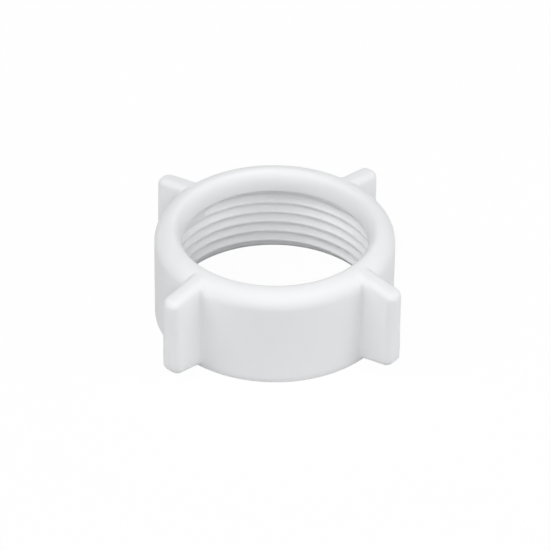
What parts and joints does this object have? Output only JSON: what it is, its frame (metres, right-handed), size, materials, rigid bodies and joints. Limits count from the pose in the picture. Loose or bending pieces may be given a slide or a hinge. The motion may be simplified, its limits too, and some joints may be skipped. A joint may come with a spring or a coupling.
{
  "type": "union nut",
  "caption": "Moulded union nut: a ring with an inward lip at its crown, an internal pipe thread below and four grip wings; it clamps a flanged tube end onto a threaded fitting.",
  "frame": {"origin": "centre of the open, threaded mouth, on the plane of its flat face", "axes": "+Z along the nut's axis from the mouth towards the lip; the four wings point along +X, +Y, -X and -Y"},
  "size_m": [0.0604, 0.0604, 0.0197],
  "materials": {
    "white_plastic": "satin moulded polypropylene, white"
  },
  "bodies": {
    "root": {"union_nut": "white_plastic"}
  },
  "joints": []
}
